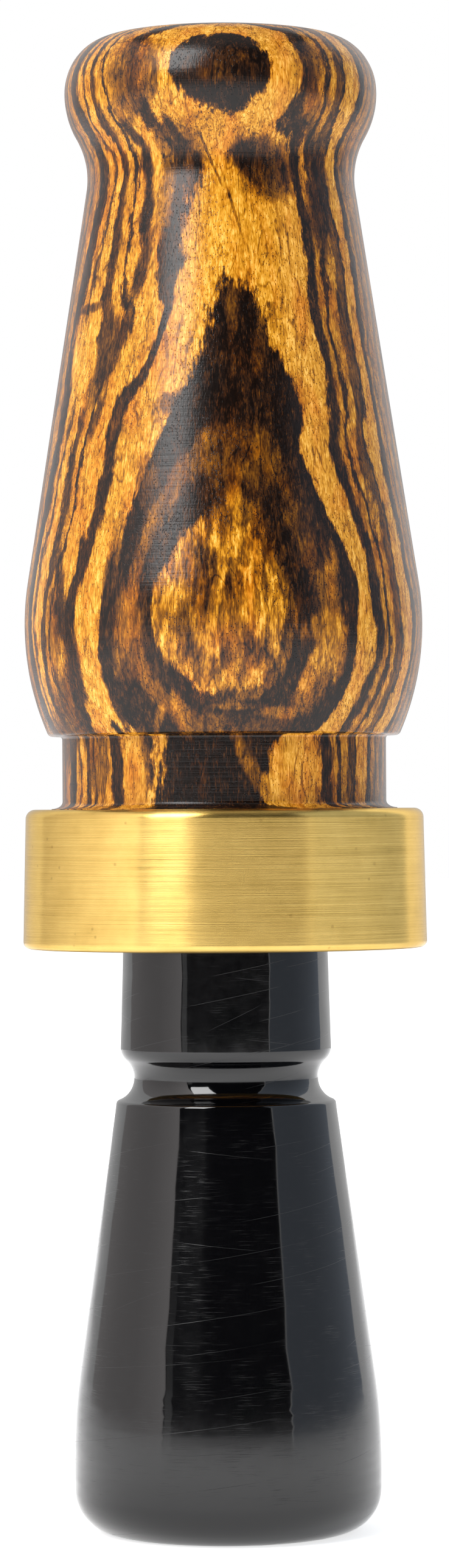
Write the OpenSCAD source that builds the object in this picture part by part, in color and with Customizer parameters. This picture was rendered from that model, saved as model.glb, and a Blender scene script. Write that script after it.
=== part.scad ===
// Duck call: a turned wooden barrel with a brass band, and a black acrylic insert that plugs into it.
// The insert carries the tone board, two reeds and the cork wedge that clamps them.
// The call stands on the open end of the insert. The axis of every turned piece is Z.
// The reeds lie on the -Y side of the tone board.

/* [Barrel] */
// Length of the barrel, from its lower end to the mouth
barrel_len = 78.6; // [66:0.2:92]
// Diameter of the bore that runs through the barrel
bore_d = 15.9; // [13:0.1:18]
// How far the bore's wall opens out at the mouth, on each side
mouth_flare = 0.95; // [0.5:0.05:1.4]
// Depth over which it opens out
mouth_flare_len = 3.2; // [2:0.1:5]
// Width of the flat rim round the mouth
rim_w = 0.3; // [0.2:0.05:1]
// Diameter across the lip at its widest
lip_d = 27; // [24:0.2:32]
// Distance from the mouth down to the widest part of the lip
lip_drop = 4.8; // [3.6:0.1:6]
// Depth of the waist under the lip, on each side
waist_depth = 1.95; // [1.2:0.05:2.6]
// Distance from the lip's widest part down to the waist
waist_drop = 7.35; // [6:0.05:9]
// Share of the curve between the two that rolls out, before it turns to hollow
lip_roll_share = 0.52; // [0.35:0.01:0.65]
// How much the belly's widest part stands in from the band's face
belly_inset = 0.25; // [0.1:0.05:1]
// Radius of the belly's curve, seen from the side
belly_curve_r = 23.4; // [18:0.2:30]
// Width of the step from the belly's foot in to the neck
foot_step = 1.15; // [1:0.05:1.6]
// Length of the neck between the belly and the band
neck_len = 6.3; // [4.5:0.1:9]

/* [Band] */
// Outer diameter of the band at its lower edge
band_d = 34.9; // [30:0.1:40]
// Height of the band
band_h = 12; // [9:0.1:15]
// Wall of the band at its lower edge
band_wall = 3.15; // [2.4:0.05:4]
// How much the band leans in from its lower to its upper edge, on each side
band_lean = 0.25; // [0:0.05:0.5]
// Radius of the band's upper edge
band_top_edge_r = 0.8; // [0.4:0.1:1.2]
// Radius of the band's lower edge
band_low_edge_r = 0.6; // [0.4:0.1:1]

/* [Insert] */
// Length of the insert that shows below the barrel
exposed_len = 50.3; // [42:0.1:60]
// How much the shoulder's lower edge stands out past the bore, on each side
shoulder_stop = 1.15; // [0.9:0.05:1.8]
// How much the shoulder leans in from its lower edge to the barrel, on each side
shoulder_lean = 0.25; // [0.05:0.05:0.5]
// Radius of the shoulder's lower edge
shoulder_edge_r = 1.4; // [0.8:0.1:1.8]
// Depth of the lanyard groove below the shoulder
groove_depth = 1.15; // [0.8:0.05:1.6]
// Radius of the cutter that made the lanyard groove
groove_cutter_r = 2.05; // [1.6:0.05:2.6]
// Distance from the top of the shoulder down to the middle of the groove
groove_drop = 11.15; // [9:0.05:14]
// How much the top of the flare stands out past the shoulder, on each side
flare_top_step = 0.4; // [0.1:0.05:0.8]
// Radius of the flare's top edge
flare_edge_r = 0.35; // [0.2:0.05:0.5]
// Diameter of the flare at its widest
flare_d = 26.6; // [24:0.1:32]
// Height of the flare's widest part above the base
flare_rise = 5.9; // [4.8:0.1:8]
// Radius of the slow curve from the flare into the base
flare_curve_r = 55; // [44:1:66]
// Radius of the corner round the base
base_corner_r = 3.7; // [3:0.1:4.4]
// Width of the flat ring that the call stands on
base_flat_w = 0.85; // [0.6:0.05:2]
// Radius of the exhaust's rim
exhaust_edge_r = 0.7; // [0.4:0.1:1]
// Length of the exhaust's taper, from the base to the throat
exhaust_len = 34; // [27:0.5:40]
// Diameter of the throat and of the sound channel
throat_d = 6.35; // [5:0.05:7.6]

/* [Tenon and tone board] */
// Length of the notch for the reeds and the cork, from its floor to the tenon's end
notch_depth = 8; // [6.5:0.1:10]
// Distance from the tone board's tip up to the mouth
tip_setback = 13; // [8:0.1:20]
// Height of the tone board's flat above the axis
flat_rise = 0.8; // [0.4:0.05:1.2]
// How far the tone board curves away from the reeds at its tip
tip_drop = 1.4; // [0.8:0.05:1.8]
// How much wider than the reeds the tip is, on each side
tip_margin = 0.9; // [0.4:0.05:1.2]
// Radius of the tip's corners, seen from the front
tip_corner_r = 3; // [2:0.1:4]
// Thickness of the tip
tip_t = 4.4; // [3.6:0.1:5]
// Length over which the underside thins towards the tip
tip_thin_len = 17; // [12:0.5:22]
// Distance from the tip to the end of the sound channel
channel_stop = 4.5; // [3.5:0.1:7]

/* [Reeds and cork] */
// Width of the reeds
reed_w = 10.6; // [9:0.1:12]
// Thickness of one reed
reed_t = 0.25; // [0.2:0.01:0.35]
// Space that the dimple keeps between the two reeds
reed_gap = 0.12; // [0.08:0.01:0.2]
// How far the lower reed stops short of the tone board's tip
reed_short = 0.6; // [0.3:0.1:2]
// How much shorter the upper reed is than the lower one
upper_reed_short = 3.2; // [2:0.1:5]
// Size of the corners clipped off the reeds' tips
reed_clip = 1.6; // [1:0.1:2.5]
// Diameter of the upper reed's dimple
dimple_d = 1.5; // [1.2:0.1:2]
// Distance from the upper reed's tip to the dimple
dimple_drop = 11; // [8:0.5:14]
// How far the cork reaches along the reeds past the tenon's end
cork_reach = 7; // [5:0.1:9]
// How far the cork's front face leans back
cork_lean = 1.5; // [0.5:0.1:2.5]

/* [O-rings] */
// Thickness of an O-ring's cord
ring_cord = 1.55; // [1.3:0.01:1.8]
// Height of the lower O-ring's middle above the shoulder
ring_rise = 3.6; // [2.8:0.1:5]
// Distance between the two O-rings
ring_pitch = 5.4; // [4.4:0.1:7]

/* [Hidden] */
$fn = 128;
// Steps along each curve of a turned outline
curve_steps = 22;
// Steps along a small edge or fillet
edge_steps = 7;
// Steps along the tone board's long curve
board_steps = 12;

// Clearances
// Between the tenon and the bore
tenon_gap = 0.05;
// Between the rod that the tone board is cut from and the bore
board_gap = 0.45;
// Between an O-ring and what it seals against
ring_gap = 0.03;
// Between a groove's walls and its O-ring
ring_side_gap = 0.25;
// The glue line between the barrel and the band
glue_gap = 0.02;
// Between the barrel's lower end and the insert's shoulder
seat_gap = 0.05;
// Between the reeds, the cork and the faces they lie on
lay_gap = 0.02;
// Between the notch and the back of the cork and the reeds
notch_gap = 0.15;
// Between the notch and the sides of the reeds
reed_side_gap = 0.2;
// Overrun of every cut
overrun = 1;

// Small details of the barrel
bore_chamfer = 0.5;
seat_chamfer = 0.3;
foot_edge_r = 0.45;
// How far the neck stands in from the band's bore
neck_inset = 0.3;
neck_top_fillet_r = 0.3;
// The neck flares out over the band's upper edge and ends in a thin edge
neck_flare_reach = 0.95;
neck_flare_rise = 0.6;
neck_flare_edge_t = 0.06;
// Small details of the insert
tenon_chamfer = 0.4;
shoulder_top_edge = 0.15;
// Between the upper O-ring's middle and the notch
notch_land = 1;
cork_crown_gap = 0.5;
reed_tail_clip = 0.8;
// Where the board's sides start to close in, as a share of its length
board_side_share = 0.25;

// Radii
bore_r = bore_d / 2;
rim_in_r = bore_r + mouth_flare;
lip_r = lip_d / 2;
waist_r = lip_r - waist_depth;
band_r = band_d / 2;
band_in_r = band_r - band_wall;
seat_r = band_in_r - glue_gap;
neck_r = band_in_r - neck_inset;
neck_flare_r = neck_r + neck_flare_reach;
foot_r = neck_r + foot_step;
belly_r = band_r - belly_inset;
tenon_r = bore_r - tenon_gap;
board_r = bore_r - board_gap;
shoulder_r = bore_r + shoulder_stop;
groove_r = shoulder_r - groove_depth;
flare_top_r = shoulder_r + flare_top_step;
flare_r = flare_d / 2;
exhaust_r = flare_r - base_corner_r - base_flat_w - exhaust_edge_r;
throat_r = throat_d / 2;
ring_out_r = bore_r - ring_gap;
ring_in_r = ring_out_r - ring_cord;
ring_floor_r = ring_in_r - ring_gap;
ring_groove_w = ring_cord + 2 * ring_side_gap;

// The belly's curve runs from its widest part down to the foot
belly_rise = sqrt(pow(belly_curve_r, 2) - pow(belly_curve_r - (belly_r - foot_r), 2));

// Heights along the axis
shoulder_z = exposed_len;
seat_z = shoulder_z + seat_gap;
mouth_z = seat_z + barrel_len;
lip_z = mouth_z - lip_drop;
waist_z = lip_z - waist_drop;
band_top_z = seat_z + band_h;
foot_z = band_top_z + neck_len;
belly_z = foot_z + belly_rise;
groove_z = shoulder_z - groove_drop;
lower_ring_z = shoulder_z + ring_rise;
upper_ring_z = lower_ring_z + ring_pitch;
notch_z = upper_ring_z + notch_land;
tenon_top_z = notch_z + notch_depth;
clamp_z = tenon_top_z + cork_reach;
tip_z = mouth_z - tip_setback;

// Levels above the axis on the reed side, where u is -Y
lower_reed_u = flat_rise + lay_gap;
upper_reed_u = lower_reed_u + reed_t + reed_gap;
cork_u = upper_reed_u + reed_t + lay_gap;

// Widths across the reeds
notch_w = reed_w + 2 * reed_side_gap;
tip_w = reed_w + 2 * tip_margin;

// Points along an ellipse's arc, or a circle's where both radii are the same
function arc(centre, rx, rz, from, to, steps) =
    [for (i = [0 : steps]) let (a = from + (to - from) * i / steps) centre + [rx * cos(a), rz * sin(a)]];

// Direction, square to it, of the line that touches two circles. A hollow circle's radius is negative.
function tangent_angle(c1, r1, c2, r2) =
    let (d = c1 - c2) atan2(d[1], d[0]) - acos((r2 - r1) / norm(d));

// Outline of the barrel, up the bore, round the lip and down the outside
lip_curve_r = (pow(waist_drop, 2) + pow(waist_depth, 2)) / (2 * waist_depth);
lip_roll_r = lip_curve_r * lip_roll_share;
waist_hollow_r = lip_curve_r - lip_roll_r;
lip_roll_centre = [lip_r - lip_roll_r, lip_z];
waist_centre = [waist_r + waist_hollow_r, waist_z];
roll_angle = atan2(lip_z - waist_z, waist_centre[0] - lip_roll_centre[0]);
belly_centre = [belly_r - belly_curve_r, belly_z];
taper_angle = tangent_angle(waist_centre, -waist_hollow_r, belly_centre, belly_curve_r);
foot_angle = -asin((belly_rise - foot_edge_r) / (belly_curve_r - foot_edge_r));
foot_centre = belly_centre + (belly_curve_r - foot_edge_r) * [cos(foot_angle), sin(foot_angle)];

function barrel_outline() = concat(
    [[bore_r + bore_chamfer, seat_z], [bore_r, seat_z + bore_chamfer]],
    arc([rim_in_r, mouth_z - mouth_flare_len], -mouth_flare, mouth_flare_len, 0, 90, edge_steps),
    arc([rim_in_r + rim_w, lip_z], lip_r - rim_in_r - rim_w, lip_drop, 90, 0, curve_steps),
    arc(lip_roll_centre, lip_roll_r, lip_roll_r, 0, -roll_angle, curve_steps),
    arc(waist_centre, waist_hollow_r, waist_hollow_r, 180 - roll_angle, 180 + taper_angle, curve_steps),
    arc(belly_centre, belly_curve_r, belly_curve_r, taper_angle, foot_angle, curve_steps),
    arc(foot_centre, foot_edge_r, foot_edge_r, foot_angle, -90, edge_steps),
    arc([neck_r + neck_top_fillet_r, foot_z - neck_top_fillet_r],
        neck_top_fillet_r, neck_top_fillet_r, 90, 180, edge_steps),
    arc([neck_flare_r, band_top_z + neck_flare_edge_t + neck_flare_rise],
        neck_flare_reach, neck_flare_rise, 180, 270, edge_steps),
    [[neck_flare_r, band_top_z], [seat_r, band_top_z]],
    [[seat_r, seat_z + seat_chamfer], [seat_r - seat_chamfer, seat_z]]
);

module barrel() {
    color("sienna") rotate_extrude() polygon(barrel_outline());
}

// The band is a plain ring that leans in a little towards the top, with rounded outer edges
module band() {
    top_r = band_r - band_lean;
    color("goldenrod") rotate_extrude() polygon(concat(
        [[band_in_r, seat_z]],
        arc([band_r - band_low_edge_r, seat_z + band_low_edge_r],
            band_low_edge_r, band_low_edge_r, -90, 0, edge_steps),
        arc([top_r - band_top_edge_r, band_top_z - band_top_edge_r],
            band_top_edge_r, band_top_edge_r, 0, 90, edge_steps),
        [[band_in_r, band_top_z]]
    ));
}

// The edges above and below the lanyard groove run into its hollow
groove_centre = [groove_r + groove_cutter_r, groove_z];
function edge_reach(edge_r, outer_r) =
    sqrt(pow(groove_cutter_r + edge_r, 2) - pow(groove_centre[0] - outer_r + edge_r, 2));
shoulder_edge_centre = [shoulder_r - shoulder_edge_r, groove_z + edge_reach(shoulder_edge_r, shoulder_r)];
flare_edge_centre = [flare_top_r - flare_edge_r, groove_z - edge_reach(flare_edge_r, flare_top_r)];
shoulder_run = atan2(shoulder_edge_centre[1] - groove_z, groove_centre[0] - shoulder_edge_centre[0]);
flare_run = atan2(groove_z - flare_edge_centre[1], groove_centre[0] - flare_edge_centre[0]);

flare_centre = [flare_r - flare_curve_r, flare_rise];
flare_angle = tangent_angle(flare_edge_centre, flare_edge_r, flare_centre, flare_curve_r);
corner_angle = asin((base_corner_r - flare_rise) / (flare_curve_r - base_corner_r));
corner_centre = flare_centre + (flare_curve_r - base_corner_r) * [cos(corner_angle), sin(corner_angle)];

// One O-ring groove in the tenon's outline, from the top down
function ring_groove(z) =
    [for (p = [[tenon_r, 1], [ring_floor_r, 1], [ring_floor_r, -1], [tenon_r, -1]])
        [p[0], z + p[1] * ring_groove_w / 2]];

// Outline of the insert before its upper half is cut away, from the tip down to the base
function insert_outline() = concat(
    [[0, tip_z], [board_r, tip_z], [board_r, tenon_top_z]],
    [[tenon_r, tenon_top_z - tenon_chamfer]],
    ring_groove(upper_ring_z),
    ring_groove(lower_ring_z),
    [[tenon_r, shoulder_z]],
    [[shoulder_r - shoulder_lean - shoulder_top_edge, shoulder_z],
     [shoulder_r - shoulder_lean, shoulder_z - shoulder_top_edge]],
    arc(shoulder_edge_centre, shoulder_edge_r, shoulder_edge_r, 0, -shoulder_run, edge_steps),
    arc(groove_centre, groove_cutter_r, groove_cutter_r, 180 - shoulder_run, 180 + flare_run, curve_steps),
    arc(flare_edge_centre, flare_edge_r, flare_edge_r, flare_run, flare_angle, edge_steps),
    arc(flare_centre, flare_curve_r, flare_curve_r, flare_angle, corner_angle, curve_steps),
    arc(corner_centre, base_corner_r, base_corner_r, corner_angle, -90, curve_steps),
    [[0, 0]]
);

// The way of the sound: the channel under the reeds, the throat, and the exhaust that opens at the base
module air_path() {
    channel_z = tip_z - channel_stop - throat_r;
    edge_centre = [exhaust_r + exhaust_edge_r, exhaust_edge_r];
    rotate_extrude() polygon(concat(
        [[0, -overrun], [edge_centre[0], -overrun]],
        arc(edge_centre, exhaust_edge_r, exhaust_edge_r, 270, 180, edge_steps),
        [[throat_r, exhaust_len]],
        arc([0, channel_z], throat_r, throat_r, 0, 90, edge_steps)
    ));
}

// A side view of points [u, z] becomes a bar across the insert, where u is -Y
module across(width) {
    rotate([90, 0, -90]) linear_extrude(width, center = true) children();
}

// A front view of points [x, z] becomes a bar through the insert
module through(depth) {
    rotate([90, 0, 0]) linear_extrude(depth, center = true) children();
}

// What is milled off above the tone board, with the board's curve as its lower face
module reed_side_cut() {
    run = tip_z - clamp_z;
    top_u = tenon_r + overrun;
    across(2 * top_u) polygon(concat(
        [[top_u, tenon_top_z], [flat_rise, tenon_top_z]],
        [for (i = [0 : board_steps])
            let (t = i / board_steps)
            [flat_rise - tip_drop * t * t, clamp_z + run * t]],
        [[flat_rise - tip_drop, tip_z + overrun], [top_u, tip_z + overrun]]
    ));
}

// The notch runs back into the tenon under a slanting roof that drives the cork down on the reeds
function roof_z(u) = notch_z + notch_depth * (u - flat_rise) / (tenon_r - flat_rise);

module notch_cut() {
    top_u = tenon_r + overrun;
    across(notch_w) polygon([
        [flat_rise, notch_z],
        [top_u, roof_z(top_u)],
        [top_u, tenon_top_z + 2 * overrun],
        [flat_rise, tenon_top_z + overrun]
    ]);
}

// What is milled off the underside to thin the tip
module underside_cut() {
    low_u = flat_rise - tip_drop - tip_t;
    slope = (board_r + low_u) / tip_thin_len;
    across(2 * board_r + 2 * overrun) polygon([
        [-board_r - overrun, tip_z - tip_thin_len - overrun / slope],
        [low_u + slope * overrun, tip_z + overrun],
        [-board_r - overrun, tip_z + overrun]
    ]);
}

// What is milled off both sides to narrow the board towards its rounded tip
module side_cut() {
    far_x = board_r + overrun;
    start_z = tenon_top_z + (tip_z - tenon_top_z) * board_side_share;
    corner = [tip_w / 2 - tip_corner_r, tip_z - tip_corner_r];
    for (side = [0, 1]) mirror([side, 0, 0]) through(2 * far_x) polygon(concat(
        [[far_x, start_z]],
        arc(corner, tip_corner_r, tip_corner_r, 0, 90, edge_steps),
        [[corner[0], tip_z + overrun], [far_x, tip_z + overrun]]
    ));
}

module insert() {
    color("black") difference() {
        rotate_extrude() polygon(insert_outline());
        air_path();
        reed_side_cut();
        notch_cut();
        underside_cut();
        side_cut();
    }
}

// The cork is a wedge under the notch's roof, crowned to follow the bore
module cork_wedge() {
    crown_r = board_r - cork_crown_gap;
    color("burlywood") intersection() {
        across(reed_w) polygon([
            [cork_u, roof_z(cork_u) + notch_gap],
            [crown_r, roof_z(crown_r) + notch_gap],
            [crown_r, clamp_z - cork_lean],
            [cork_u, clamp_z]
        ]);
        translate([0, 0, notch_z]) cylinder(r = crown_r, h = clamp_z - notch_z);
    }
}

// A reed is a strip of film with clipped corners, from under the notch's roof almost to the tip
module reed(low_u, top_z) {
    half = reed_w / 2;
    tail_z = roof_z(low_u + reed_t) + notch_gap;
    translate([0, -low_u - reed_t / 2, 0]) through(reed_t) polygon([
        [-half, tail_z + reed_tail_clip],
        [-half + reed_tail_clip, tail_z],
        [half - reed_tail_clip, tail_z],
        [half, tail_z + reed_tail_clip],
        [half, top_z - reed_clip],
        [half - reed_clip, top_z],
        [-half + reed_clip, top_z],
        [-half, top_z - reed_clip]
    ]);
}

module lower_reed() {
    color("whitesmoke") reed(lower_reed_u, tip_z - reed_short);
}

// The upper reed has a dimple pressed into it that keeps the two from sticking together.
// It is a bulge on the lower face and a dent of the same shape in the upper one.
module upper_reed() {
    top_z = tip_z - reed_short - upper_reed_short;
    bulge = reed_gap - lay_gap;
    ball_r = (pow(dimple_d / 2, 2) + pow(bulge, 2)) / (2 * bulge);
    ball_u = upper_reed_u - bulge + ball_r;
    dimple_z = top_z - dimple_drop;
    color("white") difference() {
        union() {
            reed(upper_reed_u, top_z);
            intersection() {
                translate([0, -ball_u, dimple_z]) sphere(r = ball_r);
                translate([0, -upper_reed_u - reed_t / 2, dimple_z]) rotate([-90, 0, 0])
                    cylinder(r = dimple_d, h = reed_t / 2 + reed_gap);
            }
        }
        translate([0, -ball_u - reed_t, dimple_z]) sphere(r = ball_r);
    }
}

module o_ring(z) {
    color("dimgray") translate([0, 0, z]) rotate_extrude()
        translate([ring_in_r + ring_cord / 2, 0]) circle(d = ring_cord);
}

module lower_o_ring() {
    o_ring(lower_ring_z);
}

module upper_o_ring() {
    o_ring(upper_ring_z);
}

barrel();
band();
insert();
cork_wedge();
lower_reed();
upper_reed();
lower_o_ring();
upper_o_ring();
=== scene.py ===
"""Duck call: a bocote barrel with a brass band, on a polished black acrylic insert.

The frame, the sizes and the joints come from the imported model. Lengths are in metres, and in millimetres
where a name ends in _mm or a pattern is described.
"""
import math

import bmesh
import bpy
from mathutils import Matrix


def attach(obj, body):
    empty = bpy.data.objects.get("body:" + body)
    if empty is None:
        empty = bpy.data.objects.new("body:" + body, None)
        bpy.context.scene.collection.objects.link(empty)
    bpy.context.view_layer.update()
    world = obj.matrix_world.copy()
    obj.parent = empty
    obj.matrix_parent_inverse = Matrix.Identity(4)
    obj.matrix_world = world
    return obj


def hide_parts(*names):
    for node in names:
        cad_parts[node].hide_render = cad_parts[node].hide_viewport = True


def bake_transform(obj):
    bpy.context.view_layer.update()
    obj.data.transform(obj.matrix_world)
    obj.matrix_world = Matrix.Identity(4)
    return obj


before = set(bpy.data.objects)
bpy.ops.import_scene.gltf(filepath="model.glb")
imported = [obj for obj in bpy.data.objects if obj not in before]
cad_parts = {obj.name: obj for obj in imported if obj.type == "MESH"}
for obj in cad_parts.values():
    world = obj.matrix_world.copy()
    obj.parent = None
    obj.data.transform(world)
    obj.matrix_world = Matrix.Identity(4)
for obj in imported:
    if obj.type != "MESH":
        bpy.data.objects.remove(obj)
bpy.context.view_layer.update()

# Places on the CAD model: the heights of the cork's front edge, where the reeds begin to bend, and of the
# lower reed's tip
CLAMP = 0.0753
REED_TIP = 0.1153

QUARTER_TURN = math.pi / 2


# Colours and nodes

def colour(code):
    """Turns an sRGB hex value into the linear colour that a node takes."""
    channels = [int(code[i:i + 2], 16) / 255 for i in (0, 2, 4)]
    linear = [c / 12.92 if c <= 0.04045 else ((c + 0.055) / 1.055) ** 2.4 for c in channels]
    return (*linear, 1.0)


def add(tree, kind, inputs=(), **settings):
    """Adds a node. inputs holds a value, a node or an output for each socket, by number or by name."""
    node = tree.nodes.new("ShaderNode" + kind)
    for name, value in settings.items():
        setattr(node, name, value)
    pairs = inputs.items() if isinstance(inputs, dict) else enumerate(inputs)
    for socket, source in pairs:
        if isinstance(source, bpy.types.Node):
            source = source.outputs[0]
        if isinstance(source, bpy.types.NodeSocket):
            tree.links.new(source, node.inputs[socket])
        else:
            node.inputs[socket].default_value = source
    return node


def start_material(name):
    """Makes an empty material and returns it with its node tree and its place on the piece in millimetres."""
    material = bpy.data.materials.new(name)
    material.use_nodes = True
    tree = material.node_tree
    tree.nodes.clear()
    mm_per_metre = 1000.0
    place = add(tree, "TexCoord").outputs["Object"]
    place_mm = add(tree, "VectorMath", {0: place, "Scale": mm_per_metre}, operation="SCALE")
    return material, tree, place_mm


def finish_material(tree, shader):
    add(tree, "OutputMaterial", {"Surface": shader})


def set_ramp(ramp, stops):
    """Puts the stops, each a place and a colour, on a colour ramp."""
    ramp.interpolation = "LINEAR"
    while len(ramp.elements) > 1:
        ramp.elements.remove(ramp.elements[-1])
    ramp.elements[0].position = stops[0][0]
    ramp.elements[0].color = stops[0][1]
    for place, shade in stops[1:]:
        ramp.elements.new(place).color = shade


# The figure of the wood. The growth layers of this blank are nearly flat and face the camera's side,
# so a point's tone comes from its depth towards that side: 0 is almost black, 1 is pale gold.

# Depth in mm and tone, for the layers left of the middle, right of it, in the flame and at the back
LEFT_LAYERS = [
    (0.0, 0.4), (1.1, 0.45), (1.3, 0.26), (1.9, 0.26), (2.1, 0.5), (2.7, 0.52), (2.9, 0.24), (3.2, 0.24),
    (3.35, 0.58), (4.5, 0.66), (4.75, 0.16), (5.8, 0.14), (6.05, 0.76), (6.45, 0.74), (6.6, 0.3),
    (6.8, 0.32), (6.95, 0.82), (7.6, 0.8), (7.75, 0.2), (8.25, 0.34), (8.5, 0.76), (8.93, 0.76),
    (9.02, 0.16), (9.14, 0.16), (9.3, 0.78), (10.75, 0.8), (10.9, 0.16), (11.5, 0.12), (11.65, 0.8),
    (13.0, 0.84)]
RIGHT_LAYERS = [
    (0.0, 0.45), (1.1, 0.5), (1.4, 0.3), (2.2, 0.3), (2.5, 0.62), (3.2, 0.62), (3.4, 0.34), (3.9, 0.34),
    (4.1, 0.6), (4.9, 0.6), (5.1, 0.34), (5.4, 0.34), (5.6, 0.62), (6.05, 0.62), (6.2, 0.16),
    (6.78, 0.16), (6.92, 0.82), (8.15, 0.8), (8.28, 0.16), (8.5, 0.2), (8.62, 0.42), (9.3, 0.36),
    (9.45, 0.74), (10.02, 0.72), (10.14, 0.16), (10.34, 0.16), (10.46, 0.72), (10.86, 0.68), (11.0, 0.14),
    (11.52, 0.12), (11.65, 0.8), (13.0, 0.84)]
LEFT_HEART_LAYERS = [
    (12.6, 0.84), (12.94, 0.84), (13.06, 0.06), (14.5, 0.08), (14.85, 0.46), (15.4, 0.46), (15.6, 0.12),
    (16.1, 0.12), (16.22, 0.72), (16.5, 0.66), (16.7, 0.5), (16.95, 0.56), (17.4, 0.66)]
RIGHT_HEART_LAYERS = [
    (12.6, 0.84), (12.9, 0.84), (13.0, 0.06), (14.0, 0.1), (14.3, 0.22), (14.5, 0.34), (14.85, 0.32),
    (15.05, 0.12), (15.65, 0.12), (15.78, 0.54), (15.95, 0.3), (16.1, 0.72), (16.5, 0.66), (16.7, 0.5),
    (16.95, 0.56), (17.4, 0.66)]
BACK_LAYERS = [
    (0.0, 0.45), (0.9, 0.5), (1.2, 0.26), (1.8, 0.24), (2.0, 0.7), (3.6, 0.74), (3.8, 0.18), (4.3, 0.18),
    (4.5, 0.7), (5.0, 0.72), (5.2, 0.24), (5.9, 0.2), (6.1, 0.8), (7.7, 0.82), (7.9, 0.14), (8.7, 0.16),
    (8.9, 0.5), (9.6, 0.46), (9.8, 0.8), (11.0, 0.82), (11.2, 0.12), (12.1, 0.1), (12.3, 0.78),
    (13.6, 0.84), (13.8, 0.12), (14.7, 0.1), (14.9, 0.5), (15.5, 0.46), (15.7, 0.78), (16.3, 0.74),
    (16.5, 0.2), (17.4, 0.24)]

# How far the layers swing towards the camera's side along the barrel: height and swing in mm. The outer
# family lies at the sides, the middle one further in, the inner one round the flame and the heart inside it.
LEFT_OUTER_BEND = [
    (50, 0.2), (64, 0.2), (68, 0.0), (72, -0.8), (80, -0.7), (84, -0.8), (88, -0.1), (92, 0.0), (96, 0.3),
    (104, 0.0), (108, 0.4), (112, 0.8), (116, 0.8), (120, 0.1), (124, -0.1), (130, -0.1)]
LEFT_MIDDLE_BEND = [
    (50, -0.5), (66.5, -0.52), (68.6, -0.75), (70.2, -0.45), (73, -0.2), (78, 0.05), (84, 0.7), (88, 0.9),
    (92, 0.85), (95, 0.75), (97, 0.95), (99.3, 1.6), (102.4, 2.0), (105.5, 1.25), (108.9, 0.7),
    (112.3, 0.25), (115.7, -0.15), (119, -0.15), (124, -0.1), (126, -0.4), (127.5, -0.8), (130, -1.2)]
LEFT_INNER_BEND = [
    (50, -0.1), (66, 0.1), (70, 0.35), (74, 0.45), (78, 0.65), (82, 0.85), (86, 1.0), (96, 1.1),
    (100, 0.95), (102, 0.75), (104, 0.52), (106, 0.3), (108, 0.06), (110, -0.3), (113, -0.45),
    (117, -0.4), (119, 0.0), (120.7, -0.12), (122, -0.02), (124, -0.2), (126, -0.34), (127.5, -0.75),
    (130, -1.1)]
RIGHT_OUTER_BEND = [
    (50, 0.4), (64, 0.4), (68, 0.1), (72, -0.45), (80, -0.65), (84, -0.2), (88, 0.0), (92, 0.0),
    (96, 0.25), (100, 0.3), (104, -0.3), (108, -0.65), (112, -0.5), (116, -0.35), (120, 0.0),
    (124, -0.45), (130, -0.5)]
RIGHT_MIDDLE_BEND = [
    (50, -0.1), (67, -0.1), (72, -0.05), (76, -0.45), (80, 0.05), (84, -0.05), (88, 0.1), (92.5, 0.7),
    (96, 0.3), (100, -0.2), (104, -0.5), (108, -1.1), (112, -1.45), (116, -1.7), (119, -1.3),
    (121.5, -0.5), (124, -0.1), (126, -0.4), (127.5, -0.8), (130, -1.2)]
RIGHT_INNER_BEND = [
    (50, 0.4), (67, 0.5), (70, 0.0), (78, -0.1), (82, -0.2), (84, 0.0), (88, 0.6), (92, 0.8), (95, 0.2),
    (98, 0.1), (102, 0.2), (105, 0.0), (107, -0.08), (108, 0.0), (110, -0.3), (113, -0.45), (117, -0.4),
    (119, 0.0), (120.7, -0.12), (122, 0.0), (124, -0.16), (126, -0.34), (127.5, -0.75), (130, -1.1)]
LEFT_HEART_BEND = [
    (50, 0.3), (70, 0.3), (72, 0.22), (75, 0.05), (78, 0.0), (120, 0.0), (130, 0.0)]
RIGHT_HEART_BEND = [
    (50, 0.4), (72, 0.36), (82, 0.36), (86, 0.25), (88, 0.1), (120, 0.0), (130, 0.0)]

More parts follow.
